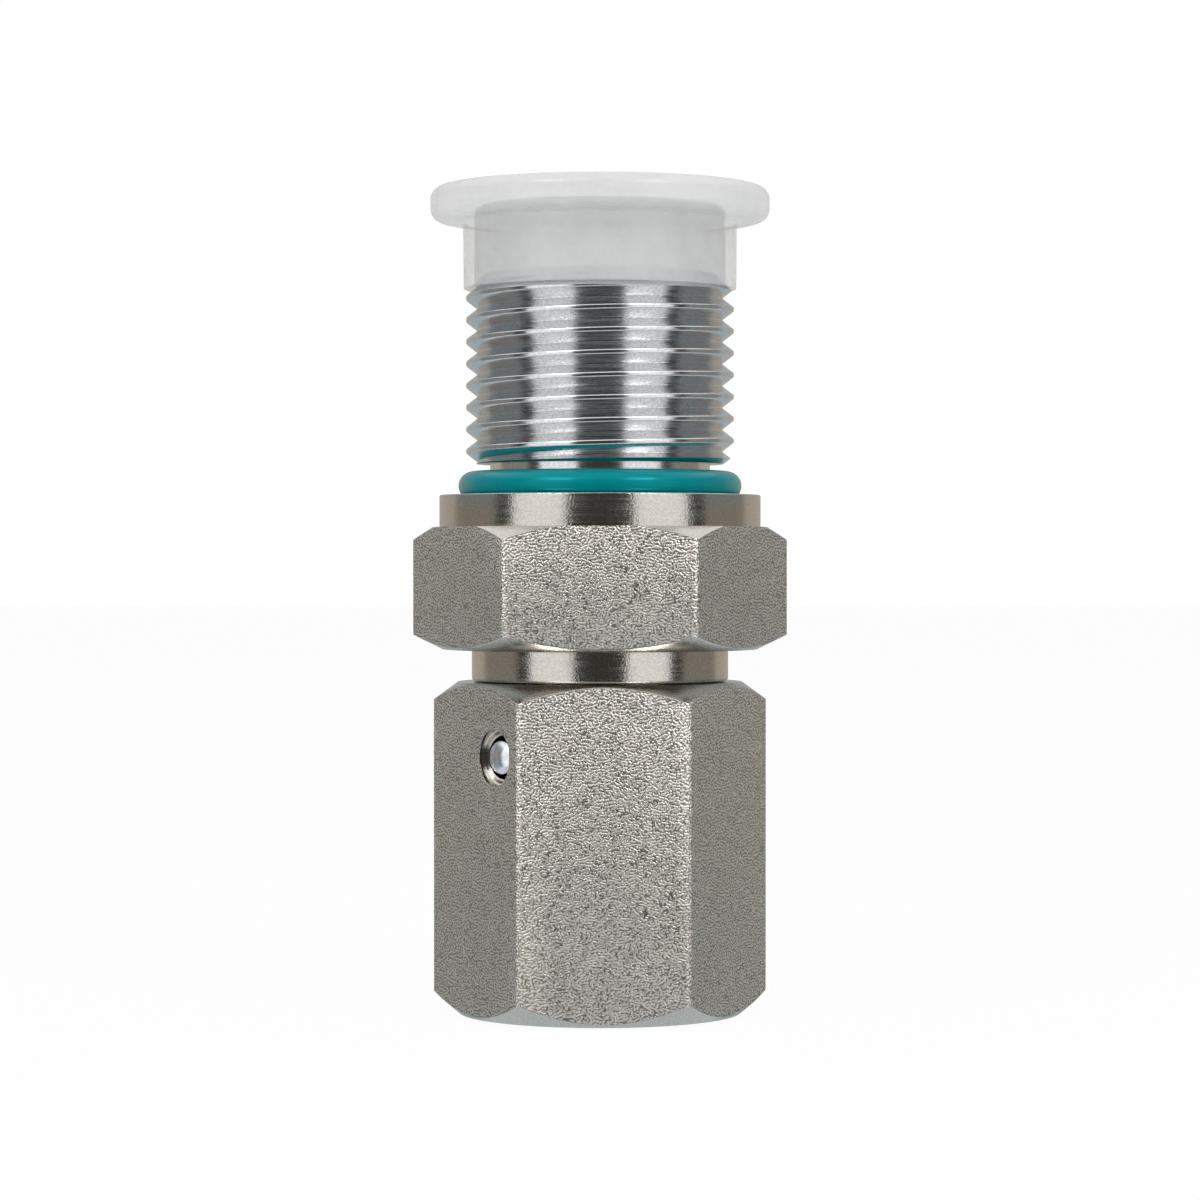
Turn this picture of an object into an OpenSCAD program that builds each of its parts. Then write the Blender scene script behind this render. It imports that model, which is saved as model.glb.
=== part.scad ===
// Swivel fitting for hydraulic lines, standing on its nut with its axis upright.
// The stud is turned in one piece: straight thread, undercut for a sealing ring, collar,
// hexagon, neck, spigot and a 24 degree cone nose with a ring of its own. The nut turns on
// the spigot, held by a wire in two facing grooves. A plastic cap covers the stud's end.
// All sizes are in millimetres. Z = 0 is the nut's lower end.

/* [Swivel nut] */
// Width across the nut's flats
nut_af = 24; // [23:0.5:27]
// Height of the nut
nut_length = 27.4; // [26:0.1:32]
// How much the lathe took off each corner's radius
nut_corner_trim = 0.08; // [0.04:0.02:0.4]
// How far the top face's rim lies inside the flats
nut_top_setback = 0.21; // [0.05:0.01:0.8]
// Slope of the upper bevel from level, in degrees
nut_top_angle = 36; // [20:1:45]
// How far the lower face's rim lies inside the flats
nut_end_setback = 0.3; // [0.05:0.05:0.8]
// Slope of the lower bevel from level, in degrees
nut_end_angle = 40; // [20:1:45]
// Turn of the nut from a flat facing squarely front, in degrees
nut_turn = 1.5; // [-30:0.5:30]

/* [Nut thread] */
// Outer diameter of the inner thread
nut_thread_d = 20; // [19.5:0.1:20.2]
// Rise of the inner thread in one turn
nut_thread_pitch = 1.5; // [1:0.25:1.5]
// Height of the relief above the thread
nut_relief_length = 2.5; // [2:0.1:4]
// Diameter of that relief
nut_relief_d = 20.3; // [20.2:0.1:20.8]
// Diameter of the bevelled mouth
nut_mouth_d = 20.5; // [20.3:0.1:21.5]

/* [Retaining wire] */
// Diameter of the wire
wire_d = 2.66; // [2:0.02:2.7]
// Distance of the wire below the nut's top
wire_drop = 5.9; // [4:0.1:7]
// Turn of the wire round the spigot from its knee, in degrees
wire_arc = 325; // [180:5:330]
// How much the knee stands out all round, where the wire is bent into the hole
wire_knee_bulge = 0.04; // [0.02:0.01:0.1]
// Distance of the end's rim below the flat, along the hole
wire_end_depth = 0.8; // [0.3:0.05:0.9]
// Radius of the crown on the end
wire_crown_r = 2.2; // [2:0.1:3]
// Diameter of the hole that the wire was fed through
feed_hole_d = 3.6; // [3.5:0.1:4]
// Diameter of the round recess at the hole's mouth
feed_recess_d = 4.6; // [4.4:0.1:5.4]
// Depth of that recess along the hole
feed_recess_depth = 1.1; // [0.7:0.1:1.3]
// Turn of the hole from the middle of its flat, in degrees
feed_offset = 15.2; // [0:0.2:16]

/* [Spigot and cone nose] */
// Diameter of the spigot that the nut turns on
spigot_d = 17.5; // [17:0.1:17.7]
// Length of the spigot below the neck
spigot_length = 10.15; // [9:0.05:12]
// Length of the cone
nose_length = 8.3; // [7:0.1:9.5]
// Diameter of the cone's tip
nose_tip_d = 12; // [11.6:0.1:12.4]
// Included angle of the cone, in degrees
cone_angle = 24; // [20:1:26]
// Thickness of the ring on the cone
nose_ring_section = 1.5; // [1.2:0.1:1.6]
// Distance of that ring above the cone's tip
nose_ring_rise = 3; // [2.5:0.1:4.5]
// How far that ring stands out of the cone
nose_ring_proud = 0.2; // [0.1:0.05:0.4]
// Height of the groove for that ring
nose_groove_length = 2; // [1.8:0.1:2.4]
// Diameter of the bore through the fitting
flow_bore_d = 8; // [6:0.1:8.4]
// Bevel at both ends of that bore
flow_bore_bevel = 0.4; // [0.2:0.1:0.8]

/* [Body hexagon and neck] */
// Width across the body's flats
body_af = 27; // [27:0.5:32]
// Height of the body hexagon
body_length = 10.1; // [7:0.1:16]
// How much the lathe took off each corner's radius
body_corner_trim = 0.09; // [0.05:0.01:0.5]
// How far the upper face's rim reaches past the flats
body_top_margin = 0.39; // [0.1:0.01:0.6]
// Slope of the upper bevel from level, in degrees
body_top_angle = 33; // [20:1:45]
// How far the lower face's rim lies inside the flats
body_low_setback = 0.45; // [0.1:0.05:0.8]
// Slope of the lower bevel from level, in degrees
body_low_angle = 26; // [20:1:45]
// Diameter of the neck between the body and the nut
neck_d = 21.27; // [19:0.01:22]
// Height of the neck
neck_length = 2.65; // [1.5:0.05:6]
// Bevel on the neck's lower edge
neck_bevel = 0.3; // [0.1:0.05:0.6]

/* [Collar and undercut] */
// Diameter of the collar
collar_d = 26.63; // [26:0.01:27]
// Height of the collar
collar_length = 2.65; // [2:0.05:5]
// Bevel on the collar's upper edge
collar_bevel = 0.12; // [0.06:0.02:0.4]
// Diameter of the undercut above the collar
undercut_d = 18.24; // [15:0.01:18.4]
// Height of the undercut
undercut_length = 2.58; // [2.2:0.01:4]
// Thickness of the sealing ring in the undercut
stud_ring_section = 2.46; // [2:0.01:2.5]
// Outer diameter of that ring
stud_ring_d = 23.48; // [23.4:0.01:24]
// Depth of the seat for the ring in the collar's face
seat_depth = 0.5; // [0.3:0.05:0.7]
// Width of the seat's sloping wall
seat_slope = 0.55; // [0.4:0.05:0.6]
// Distance from the ring to the seat's rim
seat_margin = 0.06; // [0.04:0.01:0.2]

/* [Stud thread] */
// Outer diameter of the stud's thread
stud_thread_d = 22.2; // [22.1:0.01:22.3]
// Rise of the stud's thread in one turn
stud_thread_pitch = 1.814; // [1.4:0.001:2]
// Width of the flat on each crest
stud_crest_flat = 0.3; // [0.15:0.01:0.4]
// Width of the flat at each root
stud_root_flat = 0.05; // [0.04:0.01:0.2]
// Slope of the thread's flanks from level, in degrees
stud_flank_angle = 38; // [30:1:45]
// Length of the threaded stretch with its lead-in
stud_thread_length = 15.68; // [11:0.01:22]
// Height of the lead-in bevel at the stud's end
stud_lead_in = 1.55; // [1.2:0.05:2]

/* [Protective cap] */
// Outer diameter of the tube at its mouth
cap_mouth_d = 22.6; // [22.5:0.02:24]
// Outer diameter of the tube at the flange
cap_root_d = 22.68; // [22.5:0.02:24.2]
// Length of the tube
cap_tube_length = 5.6; // [4:0.1:12]
// Thickness of the tube's wall at its mouth, above the bevel
cap_wall = 0.9; // [0.7:0.05:1.2]
// Diameter of the flange
cap_flange_d = 28.1; // [26:0.1:34]
// Thickness of the flange
cap_flange_length = 2.83; // [2.2:0.01:4]
// Radius of the flange's edges
cap_edge_r = 1; // [0.3:0.1:1]
// Thickness of the cap's closed end
cap_end_wall = 1.6; // [0.8:0.1:2]
// Height of the cap's mouth above the foot of the stud's lead-in
cap_mouth_rise = 0.35; // [0.2:0.05:0.6]

/* [Clearances] */
// Gap all round between the spigot and the nut's bore
swivel_gap = 0.05; // [0.02:0.01:0.1]
// Gap between the neck's underside and the nut's top
neck_gap = 0.05; // [0.02:0.01:0.2]
// Height of the spigot's end above the nut's inner shoulder
shoulder_gap = 0.3; // [0.1:0.05:0.6]
// Gap between the wire and its groove in the nut
wire_nut_gap = 0.05; // [0.02:0.01:0.1]
// Gap between the wire and its groove in the spigot
wire_spigot_gap = 0.25; // [0.1:0.05:0.3]
// Gap between a sealing ring and the floor of its groove
ring_gap = 0.02; // [0.01:0.01:0.05]
// Gap between the cap's mouth and the stud's lead-in
cap_gap = 0.08; // [0.04:0.01:0.12]

/* [Hidden] */

$fn = 96;

// Overshoot of a cutting solid past the face that it cuts
cut = 1;

// Form of the nut's inner thread, as shares of its pitch
inner_depth_share = 0.5413;
inner_mouth_share = 0.75;
inner_root_share = 0.125;

// Heights, from the floor up
neck_z = nut_length + neck_gap;
body_z = neck_z + neck_length;
collar_z = body_z + body_length;
face_z = collar_z + collar_length;
thread_z = face_z + undercut_length;
stud_end_z = thread_z + stud_thread_length;
lead_z = stud_end_z - stud_lead_in;
cap_mouth_z = lead_z + cap_mouth_rise;
cap_flange_z = cap_mouth_z + cap_tube_length;
cap_top_z = cap_flange_z + cap_flange_length;

// Heights and radii inside the nut, from the neck down
spigot_r = spigot_d / 2;
nose_tip_r = nose_tip_d / 2;
nose_slope = tan(cone_angle / 2);
nose_base_r = nose_tip_r + nose_length * nose_slope;
spigot_end_z = neck_z - spigot_length;
nose_base_z = spigot_end_z - (spigot_r - nose_base_r);
nose_tip_z = nose_base_z - nose_length;
relief_top_z = spigot_end_z - shoulder_gap;
nut_thread_top_z = relief_top_z - nut_relief_length;
nut_bore_r = spigot_r + swivel_gap;
nut_major_r = nut_thread_d / 2;
nut_minor_r = nut_major_r - nut_thread_pitch * inner_depth_share;
nut_mouth_depth = nut_mouth_d / 2 - nut_minor_r;

// Rings
nose_ring_z = nose_tip_z + nose_ring_rise;
nose_ring_outer_r = nose_tip_r + nose_ring_rise * nose_slope + nose_ring_proud;
nose_ring_mean_r = nose_ring_outer_r - nose_ring_section / 2;
nose_groove_r = nose_ring_mean_r - nose_ring_section / 2 - ring_gap;
stud_ring_mean_r = (stud_ring_d - stud_ring_section) / 2;
stud_ring_z = face_z - seat_depth + ring_gap + stud_ring_section / 2;
seat_r = stud_ring_d / 2 + seat_margin;

// Stud thread
stud_crest_r = stud_thread_d / 2;
stud_thread_depth = (stud_thread_pitch - stud_crest_flat - stud_root_flat) / 2 / tan(stud_flank_angle);
stud_root_r = stud_crest_r - stud_thread_depth;

// Wire and the hole it was fed through
wire_r = wire_d / 2;
wire_z = nut_length - wire_drop;
wire_ring_r = spigot_r;
feed_flat_x = nut_af / 2 / cos(feed_offset);
feed_angle = nut_turn - 150 + feed_offset;

// A hexagon with flats to the front and back, its ends bevelled and its corners trimmed on a lathe
module turned_hexagon(af, length, trim, low_r, low_angle, top_r, top_angle) {
    corner_r = af / sqrt(3) - trim;
    intersection() {
        cylinder(r = af / sqrt(3), h = length, $fn = 6);
        rotate_extrude()
            polygon([
                [0, 0],
                [low_r, 0],
                [corner_r, (corner_r - low_r) * tan(low_angle)],
                [corner_r, length - (corner_r - top_r) * tan(top_angle)],
                [top_r, length],
                [0, length]
            ]);
    }
}

// The grooves between a thread's crests, level with each other. They open towards the
// crests, so an outer thread has its root radius below its crest radius.
module thread_grooves(crest_r, root_r, mouth_width, root_width, first_z, pitch, count) {
    side = sign(crest_r - root_r);
    for (turn = [0 : count - 1])
        translate([0, 0, first_z + turn * pitch])
            rotate_extrude()
                polygon([
                    [root_r, -root_width / 2],
                    [crest_r, -mouth_width / 2],
                    [crest_r + side * cut, -mouth_width / 2],
                    [crest_r + side * cut, mouth_width / 2],
                    [crest_r, mouth_width / 2],
                    [root_r, root_width / 2]
                ]);
}

// A ring of round section that lies level
module round_ring(mean_r, section_r, height) {
    translate([0, 0, height])
        rotate_extrude()
            translate([mean_r, 0])
                circle(r = section_r, $fn = 48);
}

// The turned outline of the stud, without the hexagon
module stud_blank() {
    rotate_extrude()
        polygon([
            [0, nose_tip_z],
            [nose_tip_r, nose_tip_z],
            [nose_base_r, nose_base_z],
            [spigot_r, spigot_end_z],
            [spigot_r, neck_z],
            [neck_d / 2 - neck_bevel, neck_z],
            [neck_d / 2, neck_z + neck_bevel],
            [neck_d / 2, body_z + cut],
            [collar_d / 2, body_z + cut],
            [collar_d / 2, face_z - collar_bevel],
            [collar_d / 2 - collar_bevel, face_z],
            [undercut_d / 2, face_z],
            [undercut_d / 2, thread_z],
            [stud_crest_r, thread_z],
            [stud_crest_r, lead_z],
            [stud_crest_r - stud_lead_in, stud_end_z],
            [0, stud_end_z]
        ]);
}

// The bore through the stud, opened by a bevel at each end
module flow_bore() {
    bore_r = flow_bore_d / 2;
    mouth_r = bore_r + flow_bore_bevel;
    rotate_extrude()
        polygon([
            [0, nose_tip_z - cut],
            [mouth_r, nose_tip_z - cut],
            [mouth_r, nose_tip_z],
            [bore_r, nose_tip_z + flow_bore_bevel],
            [bore_r, stud_end_z - flow_bore_bevel],
            [mouth_r, stud_end_z],
            [mouth_r, stud_end_z + cut],
            [0, stud_end_z + cut]
        ]);
}

// The shallow seat for the sealing ring, sunk into the collar's face round the undercut
module stud_ring_seat() {
    rotate_extrude()
        polygon([
            [undercut_d / 2, face_z - seat_depth],
            [seat_r - seat_slope, face_z - seat_depth],
            [seat_r, face_z],
            [seat_r, face_z + cut],
            [undercut_d / 2, face_z + cut]
        ]);
}

// The groove round the cone for its sealing ring
module nose_ring_groove() {
    low_z = nose_ring_z - nose_groove_length / 2;
    rotate_extrude()
        translate([nose_groove_r, low_z])
            square([nose_base_r - nose_groove_r + cut, nose_groove_length]);
}

module stud_body() {
    color([0.69, 0.67, 0.64])
        difference() {
            union() {
                stud_blank();
                translate([0, 0, body_z])
                    turned_hexagon(body_af, body_length, body_corner_trim, body_af / 2 - body_low_setback,
                        body_low_angle, body_af / 2 + body_top_margin, body_top_angle);
            }
            thread_grooves(stud_crest_r, stud_root_r, stud_thread_pitch - stud_crest_flat, stud_root_flat,
                thread_z, stud_thread_pitch, floor(stud_thread_length / stud_thread_pitch) + 1);
            stud_ring_seat();
            flow_bore();
            nose_ring_groove();
            round_ring(wire_ring_r, wire_r + wire_spigot_gap, wire_z);
        }
}

// The nut's inside: bevelled mouth, thread, relief and the bore that turns on the spigot
module nut_inside() {
    rotate_extrude()
        polygon([
            [0, -cut],
            [nut_mouth_d / 2, -cut],
            [nut_mouth_d / 2, 0],
            [nut_minor_r, nut_mouth_depth],
            [nut_minor_r, nut_thread_top_z],
            [nut_relief_d / 2, nut_thread_top_z],
            [nut_relief_d / 2, relief_top_z],
            [nut_bore_r, relief_top_z],
            [nut_bore_r, nut_length + cut],
            [0, nut_length + cut]
        ]);
    thread_grooves(nut_minor_r, nut_major_r, nut_thread_pitch * inner_mouth_share,
        nut_thread_pitch * inner_root_share, nut_mouth_depth, nut_thread_pitch,
        floor((nut_thread_top_z - nut_mouth_depth) / nut_thread_pitch) + 1);
}

// The hole that the wire was fed through, drilled towards the axis, with a flat-bottomed recess
module feed_hole() {
    translate([0, 0, wire_z])
        rotate([0, 90, feed_angle]) {
            translate([0, 0, wire_ring_r])
                cylinder(d = feed_hole_d, h = feed_flat_x - wire_ring_r + cut);
            translate([0, 0, feed_flat_x - feed_recess_depth])
                cylinder(d = feed_recess_d, h = feed_recess_depth + cut);
        }
}

module swivel_nut() {
    color([0.6, 0.58, 0.55])
        difference() {
            rotate([0, 0, nut_turn])
                turned_hexagon(nut_af, nut_length, nut_corner_trim, nut_af / 2 - nut_end_setback,
                    nut_end_angle, nut_af / 2 - nut_top_setback, nut_top_angle);
            nut_inside();
            round_ring(wire_ring_r, wire_r + wire_nut_gap, wire_z);
            feed_hole();
        }
}

// The wire's end, turned with a crown, from the middle of its knee outwards
module wire_end() {
    end_x = feed_flat_x - wire_end_depth;
    crown_x = end_x - sqrt(pow(wire_crown_r, 2) - pow(wire_r, 2));
    rotate([0, 90, 0])
        translate([0, 0, wire_ring_r])
            rotate_extrude()
                intersection() {
                    square([wire_r, feed_flat_x - wire_ring_r]);
                    translate([0, crown_x - wire_ring_r])
                        circle(r = wire_crown_r);
                }
}

// A wire bent round the spigot, with one end turned out into the feed hole over a round knee
module retaining_wire() {
    color([0.62, 0.65, 0.7])
        translate([0, 0, wire_z])
            rotate([0, 0, feed_angle]) {
                rotate_extrude(angle = wire_arc)
                    translate([wire_ring_r, 0])
                        circle(r = wire_r, $fn = 48);
                translate([wire_ring_r, 0, 0])
                    rotate([0, 90, 0])
                        sphere(r = wire_r + wire_knee_bulge);
                wire_end();
            }
}

module stud_o_ring() {
    color([0, 0.52, 0.54])
        round_ring(stud_ring_mean_r, stud_ring_section / 2, stud_ring_z);
}

module nose_o_ring() {
    color([0, 0.52, 0.54])
        round_ring(nose_ring_mean_r, nose_ring_section / 2, nose_ring_z);
}

// Half the section of the cap's flange, with both edges rounded
module cap_flange_section() {
    flange_r = cap_flange_d / 2;
    translate([0, cap_flange_z])
        square([flange_r - cap_edge_r, cap_flange_length]);
    translate([0, cap_flange_z + cap_edge_r])
        square([flange_r, cap_flange_length - 2 * cap_edge_r]);
    translate([flange_r - cap_edge_r, cap_flange_z + cap_edge_r])
        circle(r = cap_edge_r, $fn = 32);
    translate([flange_r - cap_edge_r, cap_top_z - cap_edge_r])
        circle(r = cap_edge_r, $fn = 32);
}

module protective_cap() {
    // The mouth's bevel runs along the stud's lead-in, one gap away from it
    mouth_r = stud_crest_r - cap_mouth_rise + cap_gap;
    bore_r = cap_mouth_d / 2 - cap_wall;
    color([0.86, 0.87, 0.87, 0.7])
        difference() {
            union() {
                rotate_extrude()
                    cap_flange_section();
                translate([0, 0, cap_mouth_z])
                    cylinder(d1 = cap_mouth_d, d2 = cap_root_d, h = cap_tube_length);
            }
            rotate_extrude()
                polygon([
                    [0, cap_mouth_z - cut],
                    [mouth_r, cap_mouth_z - cut],
                    [mouth_r, cap_mouth_z],
                    [bore_r, cap_mouth_z + mouth_r - bore_r],
                    [bore_r, cap_top_z - cap_end_wall],
                    [0, cap_top_z - cap_end_wall]
                ]);
        }
}

swivel_nut();
retaining_wire();
stud_body();
stud_o_ring();
nose_o_ring();
protective_cap();
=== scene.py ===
"""Looks of a stainless swivel fitting that stands on its nut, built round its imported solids.

The stud, the nut and the cap are modelled here, the first two with true helical threads, and
each stands for its plain solid. The sealing rings and the retaining wire keep their solids, and
a smooth crowned end is laid over the wire's. Sizes in the classes are in millimetres, and the
scene is in metres.
"""

import logging
import math
from collections.abc import Callable, Iterable, Sequence
from dataclasses import dataclass
from enum import Enum

import bpy
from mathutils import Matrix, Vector

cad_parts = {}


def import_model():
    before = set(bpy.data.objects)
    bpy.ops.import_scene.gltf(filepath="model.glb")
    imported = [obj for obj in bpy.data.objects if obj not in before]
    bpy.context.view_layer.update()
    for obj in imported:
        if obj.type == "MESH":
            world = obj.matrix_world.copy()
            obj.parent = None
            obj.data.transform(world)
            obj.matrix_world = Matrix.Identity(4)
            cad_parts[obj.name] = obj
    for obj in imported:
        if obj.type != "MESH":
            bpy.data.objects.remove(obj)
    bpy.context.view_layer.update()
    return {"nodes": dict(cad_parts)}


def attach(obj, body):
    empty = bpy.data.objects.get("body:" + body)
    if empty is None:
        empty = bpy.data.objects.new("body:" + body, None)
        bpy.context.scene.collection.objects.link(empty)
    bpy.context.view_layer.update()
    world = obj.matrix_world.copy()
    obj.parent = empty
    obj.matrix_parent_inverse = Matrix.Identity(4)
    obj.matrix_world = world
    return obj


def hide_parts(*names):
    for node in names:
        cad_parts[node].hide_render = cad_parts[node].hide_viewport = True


LOG = logging.getLogger("swivel_fitting")

MM = 0.001
TURN_STEPS = 192
SMOOTH_ANGLE = math.radians(26)
# How far a face's middle and normal may stray and still count as on a flat
FLAT_SLACK = 0.02
# Upright share of the normals of sloping faces
SLOPING = (0.2, 0.98)

Point = tuple[float, float]
Stretch = tuple[float, float]
Colour = tuple[float, float, float]


class Cut(Enum):
    """How one solid works on another."""

    ADD = "UNION"
    REMOVE = "DIFFERENCE"
    KEEP_COMMON = "INTERSECT"


class Bench:
    """Modelling operators, each used on one piece at a time."""

    @staticmethod
    def pick(piece: bpy.types.Object) -> None:
        """Makes one piece the only selected and active object.

        Args:
            piece: The object that the next operators work on.
        """
        if bpy.context.object and bpy.context.object.mode != "OBJECT":
            bpy.ops.object.mode_set(mode="OBJECT")
        bpy.ops.object.select_all(action="DESELECT")
        piece.select_set(True)
        bpy.context.view_layer.objects.active = piece

    @staticmethod
    def settle(piece: bpy.types.Object) -> None:
        """Moves a piece's place, turn and size into its mesh.

        Args:
            piece: The object to settle at the origin.
        """
        Bench.pick(piece)
        bpy.ops.object.transform_apply(location=True, rotation=True, scale=True)

    @staticmethod
    def finish_modifier(piece: bpy.types.Object, modifier: bpy.types.Modifier) -> None:
        """Applies one modifier to its piece.

        Args:
            piece: The object that has the modifier.
            modifier: The modifier.
        """
        Bench.pick(piece)
        bpy.ops.object.modifier_apply(modifier=modifier.name)

    @staticmethod
    def tidy(piece: bpy.types.Object, merge_mm: float = 0.0005) -> None:
        """Merges doubled points and turns all faces outwards.

        Args:
            piece: The object to clean.
            merge_mm: Points nearer than this become one.
        """
        Bench.pick(piece)
        bpy.ops.object.mode_set(mode="EDIT")
        bpy.ops.mesh.select_all(action="SELECT")
        bpy.ops.mesh.remove_doubles(threshold=merge_mm * MM)
        bpy.ops.mesh.normals_make_consistent(inside=False)
        bpy.ops.object.mode_set(mode="OBJECT")

    @staticmethod
    def outline(name: str, points: Sequence[Point]) -> bpy.types.Object:
        """Draws a chain of edges in the XZ plane by extruding one point along it.

        Args:
            name: Name of the new object.
            points: Radius and height of each point, in millimetres.

        Returns:
            The object that holds the chain.
        """
        bpy.ops.object.select_all(action="DESELECT")
        radius, height = points[0]
        bpy.ops.mesh.primitive_plane_add(size=MM, location=(radius * MM, 0, height * MM))
        piece = bpy.context.object
        piece.name = name
        bpy.ops.object.mode_set(mode="EDIT")
        bpy.ops.mesh.select_all(action="SELECT")
        bpy.ops.mesh.merge(type="CENTER")
        for start, end in zip(points, points[1:]):
            step = ((end[0] - start[0]) * MM, 0, (end[1] - start[1]) * MM)
            bpy.ops.mesh.extrude_region_move(TRANSFORM_OT_translate={"value": step})
        bpy.ops.object.mode_set(mode="OBJECT")
        Bench.settle(piece)
        return piece

    @staticmethod
    def sweep(piece: bpy.types.Object, steps: int = TURN_STEPS, rise: float = 0.0, turns: int = 1) -> None:
        """Sweeps a chain of edges round the upright axis, rising on each turn.

        Args:
            piece: The object that holds the chain.
            steps: Faces round one turn.
            rise: Rise of one turn, in millimetres.
            turns: Number of turns.
        """
        screw = piece.modifiers.new("Sweep", "SCREW")
        screw.axis = "Z"
        screw.angle = math.tau
        screw.steps = screw.render_steps = steps
        screw.screw_offset = rise * MM
        screw.iterations = turns
        screw.use_normal_calculate = True
        Bench.finish_modifier(piece, screw)
        Bench.tidy(piece)

    @staticmethod
    def turned(name: str, points: Sequence[Point], steps: int = TURN_STEPS) -> bpy.types.Object:
        """Makes a turned solid from the outline of half its section.

        Args:
            name: Name of the new object.
            points: The outline, which starts and ends on the axis or closes on itself.
            steps: Faces round the axis.

        Returns:
            The turned object.
        """
        piece = Bench.outline(name, points)
        Bench.sweep(piece, steps)
        return piece

    @staticmethod
    def work(piece: bpy.types.Object, tool: bpy.types.Object, cut: Cut) -> None:
        """Adds, removes or intersects a second solid, which is used up.

        Args:
            piece: The solid that is kept.
            tool: The solid that works on it.
            cut: What the tool does.
        """
        boolean = piece.modifiers.new("Work", "BOOLEAN")
        boolean.operation = cut.value
        boolean.solver = "EXACT"
        boolean.object = tool
        Bench.finish_modifier(piece, boolean)
        bpy.data.objects.remove(tool, do_unlink=True)
        Bench.tidy(piece)

    @staticmethod
    def slice_level(piece: bpy.types.Object, height: float, keep_above: bool) -> None:
        """Cuts a solid at one height and closes the cut.

        Args:
            piece: The solid to cut.
            height: Height of the cut, in millimetres.
            keep_above: Whether the upper part stays.
        """
        Bench.pick(piece)
        bpy.ops.object.mode_set(mode="EDIT")
        bpy.ops.mesh.select_all(action="SELECT")
        bpy.ops.mesh.bisect(
            plane_co=(0, 0, height * MM),
            plane_no=(0, 0, 1),
            use_fill=True,
            threshold=1e-7,
            clear_inner=keep_above,
            clear_outer=not keep_above,
        )
        bpy.ops.object.mode_set(mode="OBJECT")

    @staticmethod
    def break_rims(
        piece: bpy.types.Object, width: float, chosen: Callable[[Vector, Vector], bool]
    ) -> None:
        """Bevels the edges between the chosen faces and the sloping ones beside them.

        Args:
            piece: The object to work on.
            width: Width of the bevel, in millimetres.
            chosen: Takes a face's middle in millimetres and its normal, and says if it is chosen.
        """
        sides: dict[tuple[int, int], list[bool]] = {}
        sloping: dict[tuple[int, int], bool] = {}
        for face in piece.data.polygons:
            mine = chosen(face.center / MM, face.normal)
            for key in face.edge_keys:
                sides.setdefault(key, []).append(mine)
                sloping[key] = sloping.get(key, False) or SLOPING[0] < abs(face.normal.z) < SLOPING[1]
        Bench.pick(piece)
        bpy.ops.object.mode_set(mode="EDIT")
        bpy.context.tool_settings.mesh_select_mode = (False, True, False)
        bpy.ops.mesh.select_all(action="DESELECT")
        bpy.ops.object.mode_set(mode="OBJECT")
        for edge in piece.data.edges:
            key = tuple(sorted(edge.vertices))
            edge.select = sorted(sides.get(key, [])) == [False, True] and sloping[key]
        bpy.ops.object.mode_set(mode="EDIT")
        bpy.ops.mesh.bevel(offset=width * MM, segments=2, affect="EDGES", clamp_overlap=False)
        bpy.context.tool_settings.mesh_select_mode = (True, False, False)
        bpy.ops.object.mode_set(mode="OBJECT")

    @staticmethod
    def smooth(piece: bpy.types.Object, angle: float = SMOOTH_ANGLE) -> None:
        """Shades the piece smooth, except across edges sharper than the angle.

        Args:
            piece: The object to shade.
            angle: The limit, in radians.
        """
        Bench.pick(piece)
        bpy.ops.object.shade_smooth_by_angle(angle=angle)

    @staticmethod
    def dress(
        piece: bpy.types.Object,
        finishes: Sequence[bpy.types.Material],
        choose: Callable[[Vector, Vector], int] | None = None,
    ) -> None:
        """Gives a piece its finishes, face by face where there are several.

        Args:
            piece: The object to dress.
            finishes: The materials, in slot order.
            choose: Takes a face's middle in millimetres and its normal, and returns its slot.
        """
        piece.data.materials.clear()
        for finish in finishes:
            piece.data.materials.append(finish)
        for face in piece.data.polygons:
            face.material_index = choose(face.center / MM, face.normal) if choose else 0


def arc(centre: Point, radius: float, start: float, end: float, steps: int = 6) -> list[Point]:
    """Points on part of a circle in the outline's plane.

    Args:
        centre: The circle's centre.
        radius: Its radius.
        start: Direction of the first point, in degrees from outwards.
        end: Direction of the last point.
        steps: Number of chords.

    Returns:
        The points, in order.
    """
    turns = [math.radians(start + (end - start) * i / steps) for i in range(steps + 1)]
    return [(centre[0] + radius * math.cos(t), centre[1] + radius * math.sin(t)) for t in turns]


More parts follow.
